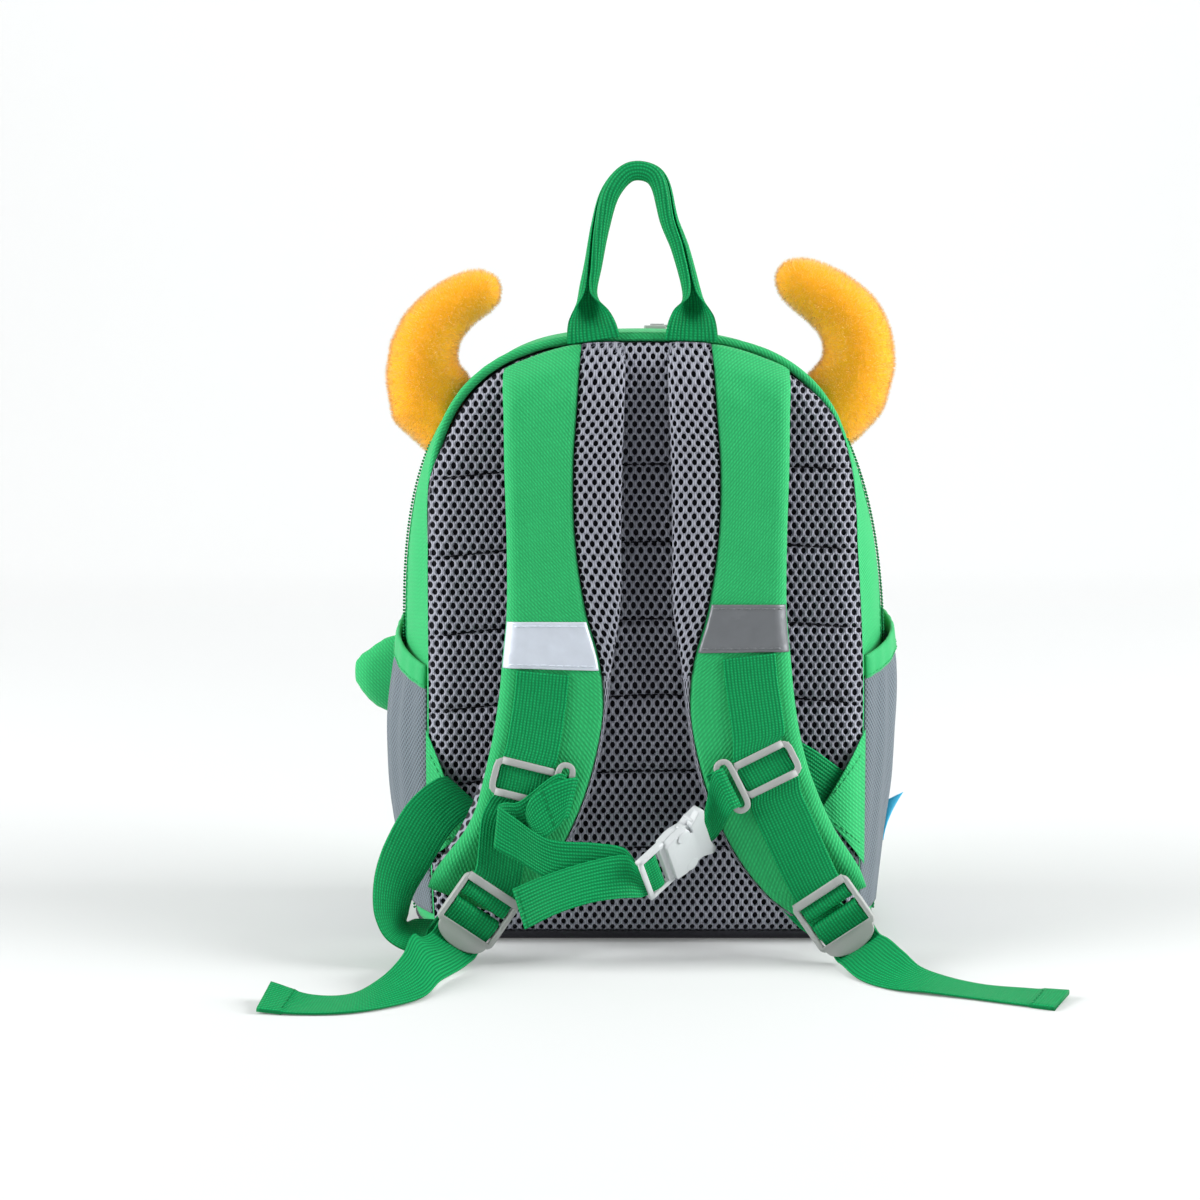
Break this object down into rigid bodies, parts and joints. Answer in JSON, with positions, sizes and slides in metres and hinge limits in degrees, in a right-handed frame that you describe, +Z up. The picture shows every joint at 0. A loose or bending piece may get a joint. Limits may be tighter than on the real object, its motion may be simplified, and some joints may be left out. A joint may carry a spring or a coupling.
{
  "type": "child's backpack with plush horns",
  "caption": "Child's backpack standing upright: arched zipped body, padded mesh back, shoulder straps with a buckled chest strap, mesh side pockets, grab handle and plush horns.",
  "frame": {"origin": "centre of the flat underside of the base, on the floor", "axes": "+Z up; the padded back and the shoulder straps face -Y; the hidden front faces +Y; +X is to the right when looking at the straps"},
  "size_m": [0.3592, 0.2828, 0.3752],
  "materials": {
    "twill": "matte woven",
    "webbing": "ribbed woven",
    "zip": "coil teeth on woven tape",
    "spacer_mesh": "knitted with open holes",
    "pocket_mesh": "fine knitted mesh",
    "base_cloth": "coated weave",
    "plush": "short pile",
    "reflective_tape": "satin silver",
    "grey_plastic": "moulded satin",
    "pale_plastic": "moulded satin",
    "label": "woven satin"
  },
  "bodies": {
    "root": {"back_panel": "spacer_mesh", "back_piping": "twill", "gusset_rear": "twill", "zip_chain": "zip", "zip_slider": "grey_plastic", "gusset_front": "twill", "front_piping": "twill", "front_panel": "twill", "bottom_panel": "base_cloth", "side_label": "label", "chest_webbing_left": "webbing", "chest_webbing_right": "webbing", "buckle_socket": "pale_plastic", "buckle_prong": "pale_plastic", "grab_handle": "webbing", "front_fin": "twill", "adjuster_webbing_left": "webbing", "adjuster_webbing_right": "webbing", "pocket_left": "pocket_mesh", "pocket_right": "pocket_mesh", "pocket_band_left": "webbing", "pocket_band_right": "webbing", "shoulder_strap_left": "twill", "shoulder_strap_right": "twill", "strap_mesh_left": "spacer_mesh", "strap_mesh_right": "spacer_mesh", "reflective_tape_left": "reflective_tape", "reflective_tape_right": "reflective_tape", "strap_webbing_left": "webbing", "strap_webbing_right": "webbing", "sternum_slider_left": "grey_plastic", "sternum_slider_right": "grey_plastic", "ladder_lock_left": "grey_plastic", "ladder_lock_right": "grey_plastic", "anchor_wing_left": "twill", "anchor_wing_right": "twill", "horn_left": "plush", "horn_right": "plush"}
  },
  "joints": []
}
